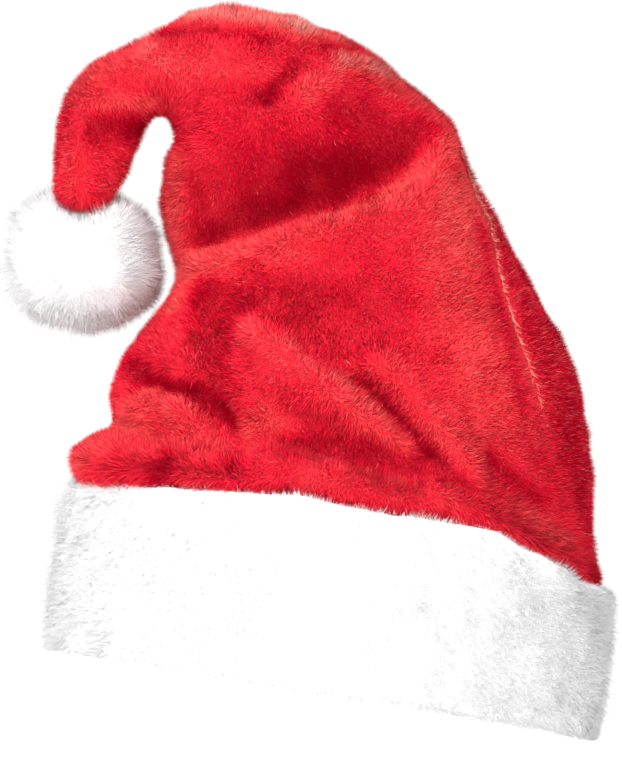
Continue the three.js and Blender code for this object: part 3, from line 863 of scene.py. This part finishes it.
REGIONS = {
    "crown_pile_lower": (190000, lambda m, n: free_of_band(m) & (n[:, 1] < 0) & (m[:, 2] <= FRONT_SPLIT)),
    "crown_pile_upper": (
        180000,
        lambda m, n: (n[:, 1] < 0) & (m[:, 2] > FRONT_SPLIT) & (m[:, 0] > TAIL_STARTS),
    ),
    "crown_pile_back": (140000, lambda m, n: free_of_band(m) & (n[:, 1] >= 0) & (m[:, 0] > TAIL_STARTS)),
    "tail_pile": (50000, lambda m, n: (m[:, 0] <= TAIL_STARTS) & (m[:, 2] > FRONT_SPLIT)),
}
crown_ground = Ground(crown_cloth, crown_outside)
red_pieces = [
    grow_pile(name, red_pile, crown_ground, keep, count, CROWN_PILE, seed)
    for seed, (name, (count, keep)) in enumerate(REGIONS.items(), start=1)
]

# %% [markdown]
# Where the two panels meet, pale threads of the backing show in the seam. They are tufts too, but they lie
# along the seam and start above the cloth, so the shortened pile beside them doesn't hide them.

# %% Threads in the seam
def along_seam(places, normals):
    (low_x, low_z), (high_x, high_z) = SEAM[0], SEAM[-1]
    return np.tile(np.array([high_x - low_x, 0, high_z - low_z]) / (low_z - high_z), (len(places), 1))


def in_seam(places, normals):
    """True within half a millimetre of the seam, which itself wanders a little."""
    return np.abs(off_seam(places) + 0.8 * wander(places, 9 * MM, 31)) < 0.45


SEAM_THREADS = {
    "length": evenly(3 * MM),
    "width": 0.22 * MM,
    "sunk": -1 * MM,
    "upright": 0.5,
    "uneven": 0.3,
    "stray": 0.45,
    "speckle": 0.3,
    "painted_glints": evenly(0.1),
    "soft": 0.6,
    "ruffles": [],
    "only": in_seam,
    "comb": along_seam,
    "tone": lambda places, normals: 0.3 + 0.6 * wander(places, 14 * MM, 32),
}
THREADS_END = 130 * MM
NEAR_SEAM = 3


def near_seam(middles, normals):
    return (np.abs(off_seam(middles)) < NEAR_SEAM) & (normals[:, 1] < 0) & (middles[:, 2] > THREADS_END)


seam_threads = grow_pile(
    "seam_threads", thread_finish, crown_ground, near_seam, 2600, SEAM_THREADS, seed=9
)
red_pieces.append(seam_threads)

# %% [markdown]
# The band's pile is longer and laid downwards, and it is fine enough to look almost smooth.

# %% The band's pile
def down_comb(places, normals):
    """Down the band's side, and outwards over its top edge."""
    return np.array([0, 0, -0.8]) + 1.5 * away_from_head(places) * np.clip(normals[:, 2:], 0, 1)


def band_length(places, normals):
    """Shorter on the top edge, and shortest where the red pile hangs over it."""
    return 7 * MM * (1 - np.clip(normals[:, 2], 0, 1) * (0.25 + 0.3 * hem_fringe(places)))


def lit_from_outside(places, normals):
    """Pile on the band's top edge hangs over it, so it is lit like the pile on the band's side."""
    return unit(normals + 1.2 * away_from_head(places))


def white_tone(places, normals):
    return 0.7 + 0.25 * wander(places, 18 * MM, 21) + 0.15 * wander(places, 6 * MM, 22)


BAND_PILE = {
    "length": band_length,
    "width": 0.4 * MM,
    "soft": 0.95,
    "sunk": 2 * MM,
    "upright": 1,
    "uneven": 0.2,
    "stray": 0.5,
    "speckle": 0.1,
    "painted_glints": evenly(0),
    "ruffles": [(24 * MM, 0.3), (8 * MM, 0.2), (3.5 * MM, 0.2)],
    "light": lit_from_outside,
    "comb": down_comb,
    "tone": white_tone,
}
TURNED_IN = -0.03


def out_of_ring(middles, normals):
    """True on the band's outside, top and foot, and not on the face that lies against the head."""
    outwards = normals[:, 0] * (middles[:, 0] - rim.x) + normals[:, 1] * middles[:, 1]
    return outwards > TURNED_IN


band_ground = Ground(band_cloth)
band_pieces = [
    grow_pile("band_pile_front", white_pile, band_ground,
              lambda m, n: out_of_ring(m, n) & (m[:, 1] < 0), 100000, BAND_PILE, seed=11),
    grow_pile("band_pile_back", white_pile, band_ground,
              lambda m, n: out_of_ring(m, n) & (m[:, 1] >= 0), 60000, BAND_PILE, seed=12),
]

# %% [markdown]
# The pompom's pile is the longest. Its roots lie deep inside the core, and the rest stands straight out of
# it, uneven and a little matted, as on a ball of cut yarn.

# %% The pompom's pile
POMPOM_PILE = {
    "length": evenly(13 * MM),
    "width": 0.4 * MM,
    "soft": 0.9,
    "sunk": 8 * MM,
    "upright": 1,
    "uneven": 0.15,
    "stray": 0.4,
    "speckle": 0.1,
    "painted_glints": evenly(0),
    "ruffles": [(22 * MM, 0.35), (8 * MM, 0.25)],
    "comb": lambda places, normals: np.zeros_like(places),
    "tone": white_tone,
}
pompom_pile = grow_pile(
    "pompom_pile", white_pile, Ground(pompom_core), lambda m, n: m[:, 2] > 0, 100000, POMPOM_PILE, seed=21
)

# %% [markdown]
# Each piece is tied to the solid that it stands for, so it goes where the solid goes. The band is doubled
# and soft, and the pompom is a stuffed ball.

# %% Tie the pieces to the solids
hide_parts("crown")
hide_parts("band")
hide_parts("pompom")
for piece in [crown_cloth, *red_pieces]:
    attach(piece, "root")
for piece in [band_cloth, *band_pieces, pompom_core, pompom_pile]:
    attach(piece, "root")

# %% [markdown]
# The hat stands on a white floor in a white room. The floor glows a little, so that it stays white and
# lights the hat from below as a white table does. The sky is brighter for the camera than for the hat.

# %% Floor and sky
FLOOR_RADIUS = 40
SKY_ON_HAT, SKY_SEEN = 0.58, 1.05


def floor_finish():
    finish = Finish("white floor")
    return finish.surface(
        Base_Color=opaque(0.8, 0.8, 0.8), Roughness=0.9,
        Emission_Color=opaque(1, 1, 1), Emission_Strength=0.85,
    )


floor_mesh = bpy.data.meshes.new("floor")
disc = bmesh.new()
bmesh.ops.create_circle(disc, cap_ends=True, segments=96, radius=FLOOR_RADIUS)
disc.to_mesh(floor_mesh)
disc.free()
floor = put("floor", floor_mesh, floor_finish())
floor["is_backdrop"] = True

sky = bpy.data.worlds.new("sky")
sky.use_nodes = True
background = sky.node_tree.nodes["Background"]
background.inputs["Color"].default_value = opaque(1, 1, 1)
path = sky.node_tree.nodes.new("ShaderNodeLightPath")
strength = sky.node_tree.nodes.new("ShaderNodeMapRange")
strength.inputs["To Min"].default_value = SKY_ON_HAT
strength.inputs["To Max"].default_value = SKY_SEEN
sky.node_tree.links.new(path.outputs["Is Camera Ray"], strength.inputs["Value"])
sky.node_tree.links.new(strength.outputs[0], background.inputs["Strength"])
bpy.context.scene.world = sky

# %% [markdown]
# One large soft light stands in front, a little to the left, and does most of the work. A weak one on the
# right keeps that side from going grey, and one behind lights the back for the other views.

# %% Lights
def soft_light(name, place, size, power):
    """A square light of that size in metres and power in watts, turned to the hat."""
    light = bpy.data.lights.new(name, "AREA")
    light.shape = "SQUARE"
    light.size = size
    light.energy = power
    lamp = bpy.data.objects.new(name, light)
    away = (Vector(place) - target).normalized()
    turned = away.to_track_quat("Z", "Y").to_matrix().to_4x4()
    lamp.matrix_world = Matrix.Translation(Vector(place)) @ turned
    bpy.context.collection.objects.link(lamp)


soft_light("key", (-0.55, -1.6, 1.05), 0.8, 41)
soft_light("fill", (0.7, -1.7, 0.5), 1, 2.5)
soft_light("back", (0.5, 1.8, 1.2), 1, 8)
bpy.context.scene.view_settings.view_transform = "Standard"

# %% [markdown]
# Last, the triangles of all the shown pieces are counted.

# %% Count the triangles
meshes = [piece.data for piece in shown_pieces() if piece.type == "MESH"]
print("triangles in all:", sum(len(face.vertices) - 2 for mesh in meshes for face in mesh.polygons))
